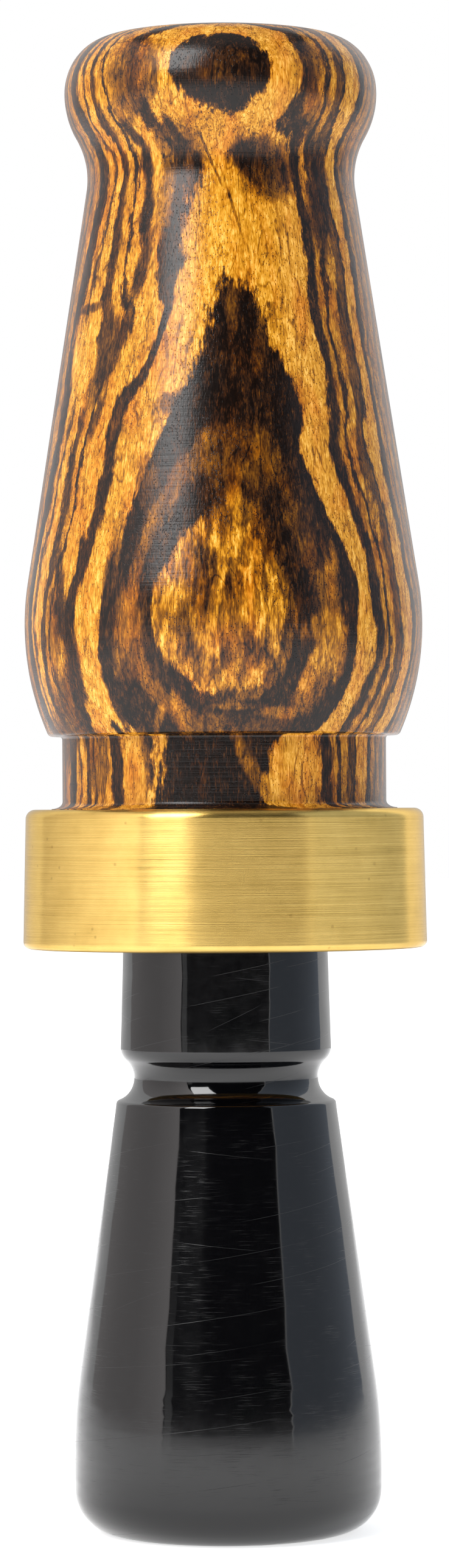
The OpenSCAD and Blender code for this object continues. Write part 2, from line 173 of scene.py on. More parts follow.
# Patches where the figure runs lighter or darker than its layer: place across and height, half widths across
# and along, lean (mm across for each mm up), the tone they pull to and how strongly
PATCHES = [
    (-1.0, 119.9, 4.2, 1.1, 0.0, 0.72, 0.7),
    (-13.3, 70.6, 1.3, 4.4, 0.1, 0.32, 0.75),
    (-10.6, 66.0, 0.9, 3.0, 0.0, 0.34, 0.7),
    (-14.3, 78.0, 0.7, 4.0, 0.0, 0.4, 0.5),
    (-6.7, 108.0, 0.5, 3.2, 0.25, 0.2, 0.85),
    (-6.3, 112.6, 0.5, 2.8, 0.12, 0.12, 0.95),
    (-6.2, 116.8, 0.45, 2.0, -0.1, 0.12, 0.95),
    (-7.5, 119.6, 0.5, 1.6, -0.8, 0.12, 0.9),
    (-4.9, 118.4, 0.5, 1.6, -0.5, 0.6, 0.8),
    (-6.0, 124.6, 0.7, 3.0, 0.0, 0.42, 0.7),
    (2.1, 66.2, 0.75, 3.0, -0.47, 0.56, 0.85),
    (-11.7, 100.2, 1.2, 3.8, 0.05, 0.84, 0.95),
    (-11.2, 105.0, 1.1, 0.45, 1.2, 0.22, 0.7),
    (-9.7, 100.6, 0.8, 3.6, 0.3, 0.24, 0.85),
    (-8.4, 102.4, 0.35, 3.0, 0.3, 0.3, 0.8),
    (-10.6, 95.6, 0.35, 2.2, 0.35, 0.2, 0.8),
    (-8.9, 95.2, 0.3, 2.0, 0.3, 0.4, 0.7),
    (8.2, 114.5, 0.9, 5.5, -0.08, 0.13, 0.9),
    (3.6, 116.4, 2.5, 2.6, -0.3, 0.22, 0.92),
    (2.2, 117.4, 1.5, 1.1, 0.2, 0.06, 0.85),
    (-0.6, 117.0, 0.9, 3.4, -0.35, 0.76, 0.9),
    (-2.6, 118.6, 0.8, 1.6, -0.3, 0.4, 0.7),
    (-4.7, 114.2, 0.7, 3.6, 0.1, 0.64, 0.9),
    (-3.7, 119.2, 0.45, 1.6, -0.7, 0.12, 0.9),
    (-2.5, 116.2, 0.4, 2.0, 0.0, 0.3, 0.8),
    (-0.9, 117.2, 0.14, 2.4, -0.42, 0.34, 0.8),
    (0.9, 113.4, 0.12, 2.8, -0.3, 0.44, 0.7),
    (0.2, 124.6, 3.1, 1.5, 0.0, 0.3, 0.75),
    (1.6, 124.4, 0.9, 1.0, 0.0, 0.08, 0.8),
    (-7.8, 124.2, 1.5, 3.4, 0.0, 0.42, 0.8),
    (7.6, 124.0, 1.2, 3.2, 0.0, 0.42, 0.5),
    (-8.2, 77.4, 1.4, 4.6, 0.05, 0.56, 0.8),
    (-8.9, 84.5, 0.45, 3.8, 0.12, 0.66, 0.8),
    (-5.9, 88.5, 1.0, 3.4, -0.2, 0.44, 0.7),
    (9.0, 80.6, 0.8, 2.6, -0.1, 0.6, 0.8),
    (8.2, 77.8, 1.5, 1.3, 0.5, 0.64, 0.85),
    (9.6, 75.6, 0.7, 2.6, 0.15, 0.8, 0.85),
    (7.4, 72.8, 1.2, 2.2, 0.3, 0.62, 0.8),
    (5.0, 70.4, 2.2, 0.5, 0.0, 0.62, 0.8),
    (-3.6, 70.2, 0.7, 1.9, -0.3, 0.64, 0.85),
    (-5.4, 70.0, 0.4, 1.4, 0.2, 0.6, 0.8),
    (0.9, 70.9, 2.0, 0.3, 0.0, 0.56, 0.7),
    (0.9, 104.2, 0.6, 2.2, -0.05, 0.44, 0.8),
    (3.1, 101.0, 0.5, 2.4, 0.1, 0.34, 0.7),
    (2.0, 91.4, 3.0, 2.4, 0.0, 0.46, 0.7),
    (1.0, 87.8, 0.7, 1.7, 0.0, 0.74, 0.9),
    (-0.9, 86.6, 0.5, 1.3, 0.2, 0.66, 0.8),
    (-9.6, 79.0, 0.6, 5.0, 0.06, 0.08, 0.85),
    (-7.1, 65.2, 0.9, 4.0, 0.0, 0.8, 0.9),
    (-12.7, 74.5, 0.65, 6.5, -0.17, 0.12, 0.85),
    (-13.9, 80.5, 0.4, 4.5, 0.0, 0.16, 0.8),
    (8.1, 75.2, 0.8, 3.6, 0.5, 0.78, 0.9),
    (9.2, 83.2, 0.5, 1.6, -0.1, 0.62, 0.8),
    (-2.8, 76.5, 0.7, 2.8, 0.0, 0.46, 0.8),
    (0.4, 81.0, 0.3, 1.2, 0.0, 0.1, 0.8),
    (3.0, 75.7, 0.8, 1.6, 0.0, 0.44, 0.8),
    (3.4, 80.6, 0.25, 2.2, 0.0, 0.3, 0.8),
    (-4.6, 77.5, 0.6, 3.4, 0.05, 0.74, 0.8),
    (-0.5, 96.2, 4.6, 1.4, 0.0, 0.04, 0.8),
    (1.4, 96.6, 3.0, 2.2, 0.0, 0.06, 0.85),
    (-1.6, 82.4, 1.3, 2.0, 0.0, 0.36, 0.75),
    (-2.5, 77.6, 1.0, 2.2, 0.0, 0.4, 0.7),
    (2.0, 75.6, 2.4, 1.3, 0.0, 0.46, 0.7),
    (1.3, 82.9, 2.2, 0.4, -0.6, 0.42, 0.6),
    (2.6, 79.4, 1.2, 2.4, 0.0, 0.8, 0.7),
    (-3.7, 81.8, 0.5, 3.4, 0.05, 0.72, 0.7),
    (-9.1, 71.6, 0.42, 2.4, -0.4, 0.1, 0.85)]

# How much slower a pattern changes up the barrel, along the grain, than across it
DRAWN_OUT = (1.0, 1.0, 0.35)
SPECK_RUN = (1.3, 1.3, 0.25)
FIBRE_RUN = (1.0, 1.0, 0.16)
STREAK_RUN = (1.0, 1.0, 0.14)
VEIN_RUN = (1.0, 1.0, 0.1)


def layer_tone(tree, depth_mm, stops):
    """The tone of the growth layers at a depth."""
    deepest_mm = 18.0
    share = add(tree, "Math", [depth_mm, deepest_mm], operation="DIVIDE")
    ramp = add(tree, "ValToRGB", [share])
    set_ramp(ramp.color_ramp, [(depth / deepest_mm, (tone, tone, tone, 1.0)) for depth, tone in stops])
    return ramp


def layer_bend(tree, height_mm, points):
    """How far the layers swing at a height, drawn as one smooth curve."""
    low_mm = 50.0
    high_mm = 130.0
    most_mm = 2.5
    share = add(tree, "MapRange", {"Value": height_mm, "From Min": low_mm, "From Max": high_mm})
    curve = add(tree, "FloatCurve", {"Value": share})
    line = curve.mapping.curves[0]
    places = [((height - low_mm) / (high_mm - low_mm), bend / (2 * most_mm) + 0.5) for height, bend in points]
    line.points[0].location = places[0]
    line.points[1].location = places[-1]
    for place in places[1:-1]:
        line.points.new(*place)
    curve.mapping.update()
    return add(tree, "Math", [curve, 2 * most_mm, -most_mm], operation="MULTIPLY_ADD")


def layer_swing(tree, height, depth, right):
    """How far the layers swing at a point, blended from the outer family to the heart of the flame."""
    outer, middle, inner, heart = [
        add(tree, "Mix", {"Factor": right, "A": layer_bend(tree, height, on_left),
                          "B": layer_bend(tree, height, on_right)})
        for on_left, on_right in (
            (LEFT_OUTER_BEND, RIGHT_OUTER_BEND), (LEFT_MIDDLE_BEND, RIGHT_MIDDLE_BEND),
            (LEFT_INNER_BEND, RIGHT_INNER_BEND), (LEFT_HEART_BEND, RIGHT_HEART_BEND))]
    to_middle = add(tree, "MapRange", {"Value": depth, "From Min": 6.0, "From Max": 10.4})
    # The inner family starts nearer the side in the waist, right of the middle
    waist = add(tree, "MapRange", {"Value": height, "From Min": 105.0, "From Max": 111.0})
    start = add(tree, "Mix", {"Factor": waist, "A": 11.4, "B": 10.5})
    full = add(tree, "Mix", {"Factor": waist, "A": 12.9, "B": 11.5})
    start = add(tree, "Mix", {"Factor": right, "A": 12.4, "B": start})
    full = add(tree, "Mix", {"Factor": right, "A": 13.05, "B": full})
    to_inner = add(tree, "MapRange", {"Value": depth, "From Min": start, "From Max": full})
    to_heart = add(tree, "MapRange", {"Value": depth, "From Min": 14.1, "From Max": 15.2})
    swing = add(tree, "Mix", {"Factor": to_middle, "A": outer, "B": middle})
    swing = add(tree, "Mix", {"Factor": to_inner, "A": swing, "B": inner})
    return add(tree, "Mix", {"Factor": to_heart, "A": swing, "B": heart})


def straying_layer(tree, layer, depth, drawn_out, fibre_run, fray):
    """Lets the layers wander over a few millimetres, and makes their edges ragged where fibres cross them."""
    ragged_reach_mm = 0.45
    wander = add(tree, "TexNoise", {"Vector": drawn_out, "Scale": 0.32, "Detail": 2.0, "Roughness": 0.5})
    wander = add(tree, "Math", [wander, 0.5], operation="SUBTRACT")
    freedom = add(tree, "MapRange", {
        "Value": depth, "From Min": 11.0, "From Max": 13.0, "To Min": 1.7, "To Max": 0.6})
    layer = add(tree, "Math", [wander, freedom, layer], operation="MULTIPLY_ADD")
    ragged = add(tree, "TexNoise", {"Vector": fibre_run, "Scale": 3.2, "Detail": 3.0, "Roughness": 0.7})
    ragged = add(tree, "Math", [ragged, 0.5], operation="SUBTRACT")
    layer = add(tree, "Math", [ragged, ragged_reach_mm, layer], operation="MULTIPLY_ADD")
    unrest = add(tree, "MapRange", {
        "Value": depth, "From Min": 9.0, "From Max": 12.0, "To Min": 1.3, "To Max": 0.6})
    return add(tree, "Math", [fray, unrest, layer], operation="MULTIPLY_ADD")


def figure_tone(tree, layer, depth, right, front):
    """The tone of the layers at the sides, in the heart of the flame and at the back."""
    side = add(tree, "Mix", {"Factor": right, "A": layer_tone(tree, layer, LEFT_LAYERS),
                             "B": layer_tone(tree, layer, RIGHT_LAYERS)})
    heart = add(tree, "Mix", {"Factor": right, "A": layer_tone(tree, layer, LEFT_HEART_LAYERS),
                              "B": layer_tone(tree, layer, RIGHT_HEART_LAYERS)})
    in_heart = add(tree, "MapRange", {"Value": layer, "From Min": 12.75, "From Max": 12.9})
    near_heart = add(tree, "MapRange", {"Value": depth, "From Min": 12.05, "From Max": 12.2})
    in_heart = add(tree, "Math", [in_heart, near_heart], operation="MULTIPLY")
    tone = add(tree, "Mix", {"Factor": in_heart, "A": side, "B": heart})
    behind = add(tree, "Math", [layer, -1.0], operation="MULTIPLY")
    return add(tree, "Mix", {"Factor": front, "A": layer_tone(tree, behind, BACK_LAYERS), "B": tone})


def patched_tone(tree, tone, place, fray, front):
    """Pulls the tone lighter or darker in the patches, which have frayed edges."""
    edge_fray = 3.2
    for across, height, half_width, half_length, lean, patch_tone, strength in PATCHES:
        offset = add(tree, "VectorMath", [place, (across, 0.0, height)], operation="SUBTRACT")
        parts = add(tree, "SeparateXYZ", [offset])
        leaned = add(tree, "Math", [parts.outputs["Z"], -lean, parts.outputs["X"]], operation="MULTIPLY_ADD")
        wide = add(tree, "Math", [leaned, half_width], operation="DIVIDE")
        long = add(tree, "Math", [parts.outputs["Z"], half_length], operation="DIVIDE")
        wide = add(tree, "Math", [wide, 2.0], operation="POWER")
        spread = add(tree, "Math", [long, long, wide], operation="MULTIPLY_ADD")
        edge = add(tree, "Math", [fray, edge_fray, spread], operation="MULTIPLY_ADD")
        cover = add(tree, "MapRange", {"Value": edge, "From Min": 1.5, "From Max": 0.4, "To Max": strength})
        cover = add(tree, "Math", [cover, front], operation="MULTIPLY")
        tone = add(tree, "Mix", {"Factor": cover, "A": tone, "B": patch_tone})
    return tone


def veined_tone(tree, tone, place, layer, depth, drawn_out):
    """Adds the mottling, the veins and the streaks that run with the grain."""
    # Brown mottling a millimetre or two long
    mottle = add(tree, "TexNoise", {"Vector": drawn_out, "Scale": 1.5, "Detail": 4.0, "Roughness": 0.7})
    mottle = add(tree, "Math", [mottle, 0.5], operation="SUBTRACT")
    in_rings = add(tree, "MapRange", {
        "Value": depth, "From Min": 13.2, "From Max": 14.0, "To Min": 0.65, "To Max": 1.0})
    tone = add(tree, "Math", [mottle, in_rings, tone], operation="MULTIPLY_ADD")
    # Brown veins a third of a millimetre wide and up to a centimetre long, which waver along the grain
    sway_reach = (1.3, 1.3, 0.2)
    sway = add(tree, "TexNoise", {"Vector": drawn_out, "Scale": 0.7, "Detail": 1.0})
    vein_run = add(tree, "VectorMath", [place, VEIN_RUN], operation="MULTIPLY")
    swayed = add(tree, "VectorMath", [sway.outputs["Color"], sway_reach, vein_run], operation="MULTIPLY_ADD")
    veins = add(tree, "TexNoise", {"Vector": swayed, "Scale": 0.75, "Detail": 1.0})
    veins = add(tree, "Math", [veins, 0.5], operation="SUBTRACT")
    veins = add(tree, "Math", [veins], operation="ABSOLUTE")
    vein = add(tree, "MapRange", {"Value": veins, "From Min": 0.022, "From Max": 0.004, "To Max": -0.2})
    tone = add(tree, "Math", [vein, tone], operation="ADD")
    # Streaks where the heart of the figure is cut almost along its layers
    streak_run = add(tree, "VectorMath", [place, STREAK_RUN], operation="MULTIPLY")
    streaks = add(tree, "TexNoise", {"Vector": streak_run, "Scale": 2.1, "Detail": 4.0, "Roughness": 0.6})
    streaks = add(tree, "Math", [streaks, 0.5], operation="SUBTRACT")
    in_eye = add(tree, "MapRange", {
        "Value": layer, "From Min": 15.8, "From Max": 16.3, "To Min": 0.4, "To Max": 1.6})
    return add(tree, "Math", [streaks, in_eye, tone], operation="MULTIPLY_ADD")


def specked_tone(tree, tone, place):
    """Adds specks a quarter of a millimetre long: dark in the gold, and gold in the dark wood."""
    speck_run = add(tree, "VectorMath", [place, SPECK_RUN], operation="MULTIPLY")
    specks = add(tree, "TexNoise", {"Vector": speck_run, "Scale": 5.0, "Detail": 2.0, "Roughness": 0.6})
    dark_speck = add(tree, "MapRange", {"Value": specks, "From Min": 0.55, "From Max": 0.72, "To Max": -0.22})
    light_speck = add(tree, "MapRange", {"Value": specks, "From Min": 0.46, "From Max": 0.28, "To Max": 0.24})
    in_gold = add(tree, "MapRange", {"Value": tone, "From Min": 0.3, "From Max": 0.7})
    in_dark = add(tree, "MapRange", {"Value": tone, "From Min": 0.5, "From Max": 0.15})
    tone = add(tree, "Math", [dark_speck, in_gold, tone], operation="MULTIPLY_ADD")
    return add(tree, "Math", [light_speck, in_dark, tone], operation="MULTIPLY_ADD")


def open_pores(tree, place, drawn_out):
    """Pores: open vessels 0.1 mm wide and up to half a millimetre long, filled dark, in drifts."""
    pores_per_mm = (7.0, 7.0, 4.2)
    pore_place = add(tree, "VectorMath", [place, pores_per_mm], operation="MULTIPLY")
    pores = add(tree, "TexVoronoi", {"Vector": pore_place, "Scale": 1.0, "Randomness": 1.0}, feature="F1")
    pore = add(tree, "MapRange", {"Value": pores.outputs["Distance"], "From Min": 0.36, "From Max": 0.16})
    chance = add(tree, "SeparateColor", [pores.outputs["Color"]])
    drift = add(tree, "TexNoise", {"Vector": drawn_out, "Scale": 0.45, "Detail": 1.0})
    drift = add(tree, "MapRange", {
        "Value": drift, "From Min": 0.4, "From Max": 0.62, "To Min": 0.93, "To Max": 0.3})
    chosen = add(tree, "Math", [chance, drift], operation="GREATER_THAN")
    return add(tree, "Math", [pore, chosen], operation="MULTIPLY")


def bocote():
    """Bocote, turned, sanded and oiled to a satin gloss: dark brown and golden layers, fine dark pores."""
    material, tree, place = start_material("oiled_bocote")
    axes = add(tree, "SeparateXYZ", [place])
    height = axes.outputs["Z"]
    depth = add(tree, "Math", [axes.outputs["Y"], -1.0], operation="MULTIPLY")
    # Whether a point is right of the middle, and whether it is on the camera's side of the axis
    right = add(tree, "MapRange", {
        "Value": axes.outputs["X"], "From Min": -0.9, "From Max": 0.9}, interpolation_type="SMOOTHSTEP")
    front = add(tree, "MapRange", {"Value": depth, "From Min": -0.2, "From Max": 0.2})
    drawn_out = add(tree, "VectorMath", [place, DRAWN_OUT], operation="MULTIPLY")
    fibre_run = add(tree, "VectorMath", [place, FIBRE_RUN], operation="MULTIPLY")
    fray = add(tree, "TexNoise", {"Vector": drawn_out, "Scale": 1.1, "Detail": 4.0, "Roughness": 0.75})
    fray = add(tree, "Math", [fray, 0.5], operation="SUBTRACT")

    layer = add(tree, "Math", [depth, layer_swing(tree, height, depth, right)], operation="SUBTRACT")
    layer = straying_layer(tree, layer, depth, drawn_out, fibre_run, fray)
    tone = figure_tone(tree, layer, depth, right, front)
    tone = patched_tone(tree, tone, place, fray, front)
    tone = veined_tone(tree, tone, place, layer, depth, drawn_out)
    # Single fibres 0.05 mm thick, drawn at 0.12 mm to show
    fibre_contrast = 0.65
    fibre = add(tree, "TexNoise", {"Vector": fibre_run, "Scale": 8.0, "Detail": 2.0, "Roughness": 0.6})
    fibre = add(tree, "Math", [fibre, 0.5], operation="SUBTRACT")
    tone = add(tree, "Math", [fibre, fibre_contrast, tone], operation="MULTIPLY_ADD")
    tone = specked_tone(tree, tone, place)
    pore_darkness = -0.38
    pore = open_pores(tree, place, drawn_out)
    tone = add(tree, "Math", [pore, pore_darkness, tone], operation="MULTIPLY_ADD")

    shades = add(tree, "ValToRGB", [tone])
    set_ramp(shades.color_ramp, [
        (0.0, colour("0e0806")), (0.14, colour("1f120b")), (0.3, colour("3c220e")), (0.45, colour("5f3a10")),
        (0.6, colour("855210")), (0.74, colour("ac7216")), (0.86, colour("c78d2c")), (1.0, colour("dfab52"))])
    # Honey gold drifts towards orange brown over a few millimetres
    hue = add(tree, "TexNoise", {"Vector": drawn_out, "Scale": 0.5, "Detail": 3.0, "Roughness": 0.6})
    hue = add(tree, "MapRange", {"Value": hue, "From Min": 0.46, "From Max": 0.68, "To Max": 0.7})
    shades = add(tree, "Mix", {"Factor": hue, "A": shades, "B": colour("f0c890")},
                 data_type="RGBA", blend_type="MULTIPLY")

    gloss = add(tree, "MapRange", {
        "Value": fibre, "From Min": -0.25, "From Max": 0.25, "To Min": 0.19, "To Max": 0.27})
    # Sanding on the lathe leaves lines round the piece, 0.05 mm apart, drawn 0.15 mm apart
    sanding_lines = (0.12, 0.12, 6.5)
    line_height = 0.9
    turned = add(tree, "VectorMath", [place, sanding_lines], operation="MULTIPLY")
    turned = add(tree, "TexNoise", {"Vector": turned, "Scale": 1.0, "Detail": 2.0})
    relief = add(tree, "Math", [pore, -1.0, fibre], operation="MULTIPLY_ADD")
    relief = add(tree, "Math", [turned, line_height, relief], operation="MULTIPLY_ADD")
    bump = add(tree, "Bump", {"Height": relief, "Strength": 0.36, "Distance": 0.00003})
    shader = add(tree, "BsdfPrincipled", {
        "Base Color": shades.outputs["Result"], "Roughness": gloss, "IOR": 1.5, "Specular IOR Level": 0.25,
        "Normal": bump})
    finish_material(tree, shader)
    return material


def satin_brass():
    """Brass, turned and brushed round with fine abrasive: gold sheen drawn up and down, fine lines round."""
    material, tree, place = start_material("brushed_brass")
    # Brush lines of about 0.03 mm, drawn 0.09 mm apart to show, and broader bands among them
    brush_lines = (0.06, 0.06, 11.0)
    brush_bands = (0.03, 0.03, 1.6)
    lines_place = add(tree, "VectorMath", [place, brush_lines], operation="MULTIPLY")
    lines = add(tree, "TexNoise", {"Vector": lines_place, "Scale": 1.0, "Detail": 3.0, "Roughness": 0.7})
    bands_place = add(tree, "VectorMath", [place, brush_bands], operation="MULTIPLY")
    bands = add(tree, "TexNoise", {"Vector": bands_place, "Scale": 1.0, "Detail": 2.0})
    # Handling stains the brass over a few millimetres
    line_share = 0.8
    band_share = 0.2
    stains = add(tree, "TexNoise", {"Vector": place, "Scale": 0.35, "Detail": 4.0, "Roughness": 0.65})
    stains = add(tree, "MapRange", {"Value": stains, "To Min": 0.25, "To Max": 0.75})
    wear = add(tree, "Math", [lines, line_share, stains], operation="MULTIPLY_ADD")
    wear = add(tree, "Math", [bands, band_share, wear], operation="MULTIPLY_ADD")
    wear = add(tree, "MapRange", {"Value": wear, "From Min": 0.75, "From Max": 1.2})
    shade = add(tree, "ValToRGB", [wear])
    set_ramp(shade.color_ramp, [(0.0, colour("a88c49")), (0.3, colour("bf9f57")), (1.0, colour("d0b066"))])
    # Pinhead spots of tarnish
    spot_strength = 0.35
    spots = add(tree, "TexVoronoi", {"Vector": place, "Scale": 0.55}, feature="F1")
    spot = add(tree, "MapRange", {"Value": spots.outputs["Distance"], "From Min": 0.1, "From Max": 0.05})
    spot = add(tree, "Math", [spot, spot_strength], operation="MULTIPLY")
    shade = add(tree, "Mix", {"Factor": spot, "A": shade, "B": colour("7d5f2c")}, data_type="RGBA")
    rough = add(tree, "MapRange", {
        "Value": lines, "From Min": 0.3, "From Max": 0.7, "To Min": 0.2, "To Max": 0.29})
    # The face under the band stays rough as the parting tool left it; its darkening towards brown is painted
    # shade
    underside_shade_share = 0.8
    dull_roughness = 0.25
    facing = add(tree, "SeparateXYZ", [add(tree, "NewGeometry").outputs["Normal"]])
    under = add(tree, "MapRange", {"Value": facing.outputs["Z"], "From Min": -0.75, "From Max": -0.95})
    painted_underside_shade = add(tree, "Math", [under, underside_shade_share], operation="MULTIPLY")
    # Painted shade: the downward face is mixed towards dark brown
    shade = add(tree, "Mix", {"Factor": painted_underside_shade, "A": shade.outputs["Result"], "B": colour("3c2f1c")},
                data_type="RGBA")
    rough = add(tree, "Math", [under, dull_roughness, rough], operation="MULTIPLY_ADD")
    bump = add(tree, "Bump", {"Height": lines, "Strength": 0.4, "Distance": 0.00002})
    around = add(tree, "Tangent", direction_type="RADIAL", axis="Z")
    shader = add(tree, "BsdfPrincipled", {
        "Base Color": shade.outputs["Result"], "Metallic": 1.0, "Specular Tint": colour("fff2d8"),
        "Roughness": rough, "Anisotropic": 0.93, "Anisotropic Rotation": 0.25, "Normal": bump,
        "Tangent": around})
    finish_material(tree, shader)
    return material


def acrylic_marks(tree, place, around, height, handled):
    """Buffing lines and scratches on the acrylic: 0 where it is clean, up to 0.45 in a scratch."""
    # Buffing lines of 0.01 mm, drawn 0.06 mm apart and 1 to 3 mm long, in stronger and weaker drifts
    line_run = 0.45
    lines_per_mm = 15.0
    drift_share = 0.35
    lines_around = add(tree, "Math", [around, line_run], operation="MULTIPLY")
    lines_up = add(tree, "Math", [height, lines_per_mm], operation="MULTIPLY")
    line_place = add(tree, "CombineXYZ", [lines_around, lines_up, 0.0])
    lines = add(tree, "TexNoise", {"Vector": line_place, "Scale": 1.0, "Detail": 2.0, "Roughness": 0.6})
    drift = add(tree, "TexNoise", {"Vector": place, "Scale": 0.4, "Detail": 2.0})
    lines = add(tree, "Math", [drift, drift_share, lines], operation="MULTIPLY_ADD")
    hairlines = add(tree, "MapRange", {"Value": lines, "From Min": 0.79, "From Max": 0.91, "To Max": 0.42})
    marks = add(tree, "Math", [hairlines, handled], operation="MULTIPLY")
    # Scratches 0.02 mm wide, drawn 0.05 mm wide and up to 15 mm long: slant, spacing in mm and the share
    # of each scratch that is missing
    scratches = ((-0.19, 2.7, 0.5), (-0.12, 4.1, 0.55), (0.12, 5.3, 0.58), (-0.45, 6.1, 0.6))
    outer_mm = 0.025
    core_mm = 0.01
    scratch_run = 0.11
    scratch_strength = 0.45
    for slant, spacing, gaps in scratches:
        across = add(tree, "Math", [around, slant, height], operation="MULTIPLY_ADD")
        across = add(tree, "Math", [across, 1 / spacing], operation="MULTIPLY")
        scratch = add(tree, "TexVoronoi", {"W": across, "Scale": 1.0},
                      voronoi_dimensions="1D", feature="DISTANCE_TO_EDGE")
        scratch = add(tree, "MapRange", {
            "Value": scratch, "From Min": outer_mm / spacing, "From Max": core_mm / spacing})
        along = add(tree, "Math", [around, scratch_run], operation="MULTIPLY")
        along = add(tree, "CombineXYZ", [along, across, slant])
        part = add(tree, "TexNoise", {"Vector": along, "Scale": 1.0, "Detail": 1.0})
        part = add(tree, "MapRange", {"Value": part, "From Min": gaps - 0.03, "From Max": gaps + 0.05})
        part = add(tree, "Math", [part, scratch_strength], operation="MULTIPLY")
        scratch = add(tree, "Math", [scratch, part], operation="MULTIPLY")
        marks = add(tree, "Math", [marks, scratch], operation="MAXIMUM")
    return marks


def black_acrylic():
    """Cast acrylic rod, turned and buffed: a deep gloss black with faint hairline scratches."""
    material, tree, place = start_material("buffed_black_acrylic")
    # Distance round the piece and height in mm, so that the lines run round it or at a slant
    mean_radius_mm = 9.5
    axes = add(tree, "SeparateXYZ", [place])
    toward = add(tree, "Math", [axes.outputs["Y"], -1.0], operation="MULTIPLY")
    turn = add(tree, "Math", [axes.outputs["X"], toward], operation="ARCTAN2")
    around = add(tree, "Math", [turn, mean_radius_mm], operation="MULTIPLY")
    height = axes.outputs["Z"]
    # The flare is held and set down, and so carries more marks than the shoulder above it
    handled = add(tree, "MapRange", {
        "Value": height, "From Min": 38.0, "From Max": 34.0, "To Min": 0.25, "To Max": 0.9})
    marks = acrylic_marks(tree, place, around, height, handled)
    # Buffing leaves a faint swell in the surface, several millimetres long
    swell_height = 6.0
    swell = add(tree, "TexNoise", {"Vector": place, "Scale": 0.16, "Detail": 1.0})
    haze = add(tree, "TexNoise", {"Vector": place, "Scale": 0.8, "Detail": 4.0, "Roughness": 0.7})
    rough = add(tree, "MapRange", {
        "Value": haze, "From Min": 0.35, "From Max": 0.7, "To Min": 0.045, "To Max": 0.07})
    handling_haze = 0.05
    mark_roughness = 0.45
    rough = add(tree, "Math", [handled, handling_haze, rough], operation="MULTIPLY_ADD")
    rough = add(tree, "Math", [marks, mark_roughness, rough], operation="MULTIPLY_ADD")
    relief = add(tree, "Math", [swell, swell_height, marks], operation="MULTIPLY_ADD")
    bump = add(tree, "Bump", {"Height": relief, "Strength": 1.0, "Distance": 0.0000012})
    tangent = add(tree, "Tangent", direction_type="RADIAL", axis="Z")
    shader = add(tree, "BsdfPrincipled", {
        "Base Color": colour("020203"), "Roughness": rough, "IOR": 1.49, "Normal": bump,
        "Anisotropic": 0.9, "Anisotropic Rotation": 0.25, "Tangent": tangent})
    finish_material(tree, shader)
    return material


def frosted_film():
    """Polyester film, cast with a matt surface: milky, slightly see-through, with a soft sheen."""
    material, tree, place = start_material("frosted_polyester_film")
    frost = add(tree, "TexNoise", {"Vector": place, "Scale": 7.0, "Detail": 3.0})
    rough = add(tree, "MapRange", {"Value": frost, "To Min": 0.38, "To Max": 0.52})
    bump = add(tree, "Bump", {"Height": frost, "Strength": 0.1, "Distance": 0.00001})
    shader = add(tree, "BsdfPrincipled", {
        "Base Color": colour("dfe3e0"), "Roughness": rough, "IOR": 1.57, "Normal": bump,
        "Transmission Weight": 0.35})
    finish_material(tree, shader)
    return material


def cut_cork():
    """Natural cork, cut with a blade: warm tan and fine-grained, with short dark lenticels."""
    material, tree, place = start_material("cut_cork")
    # Cells of 0.04 mm, drawn at 0.1 mm to show, in paler and darker growth of a few millimetres
    growth_run = (0.7, 0.7, 1.6)
    cell_share = 0.8
    cells = add(tree, "TexNoise", {"Vector": place, "Scale": 6.0, "Detail": 3.0, "Roughness": 0.7})
    growth_place = add(tree, "VectorMath", [place, growth_run], operation="MULTIPLY")
    growth = add(tree, "TexNoise", {"Vector": growth_place, "Scale": 0.8, "Detail": 3.0})
    tone = add(tree, "Math", [cells, cell_share, growth], operation="MULTIPLY_ADD")
    tone = add(tree, "MapRange", {"Value": tone, "From Min": 0.6, "From Max": 1.2})
    shade = add(tree, "ValToRGB", [tone])
    set_ramp(shade.color_ramp, [(0.0, colour("7d5430")), (0.45, colour("b08252")), (1.0, colour("cfa777"))])
    # Lenticels: brown pits up to 1 mm long, with uneven edges
    unevenness = (0.5, 0.5, 0.5)
    pit_depth = -1.5
    bent = add(tree, "VectorMath", [cells.outputs["Color"], unevenness, growth_place],
               operation="MULTIPLY_ADD")
    pits = add(tree, "TexVoronoi", {"Vector": bent, "Scale": 0.8}, feature="F1")
    pit = add(tree, "MapRange", {"Value": pits.outputs["Distance"], "From Min": 0.24, "From Max": 0.12})
    mixed = add(tree, "Mix", {"Factor": pit, "A": shade, "B": colour("482a15")}, data_type="RGBA")
    height = add(tree, "Math", [pit, pit_depth, cells], operation="MULTIPLY_ADD")
    bump = add(tree, "Bump", {"Height": height, "Strength": 0.6, "Distance": 0.00006})
    shader = add(tree, "BsdfPrincipled", {
        "Base Color": mixed.outputs["Result"], "Roughness": 0.8, "Normal": bump})
    finish_material(tree, shader)
    return material


def moulded_rubber():
    """Nitrile rubber, moulded: dull black with a faint bloom."""
    material, tree, place = start_material("moulded_nitrile_rubber")
    bloom = add(tree, "TexNoise", {"Vector": place, "Scale": 3.0, "Detail": 4.0})
    shade = add(tree, "ValToRGB", [bloom])
    set_ramp(shade.color_ramp, [(0.3, colour("161616")), (0.75, colour("242424"))])
    bump = add(tree, "Bump", {"Height": bloom, "Strength": 0.15, "Distance": 0.00003})
    shader = add(tree, "BsdfPrincipled", {"Base Color": shade, "Roughness": 0.55, "Normal": bump})
    finish_material(tree, shader)
    return material


# Pieces

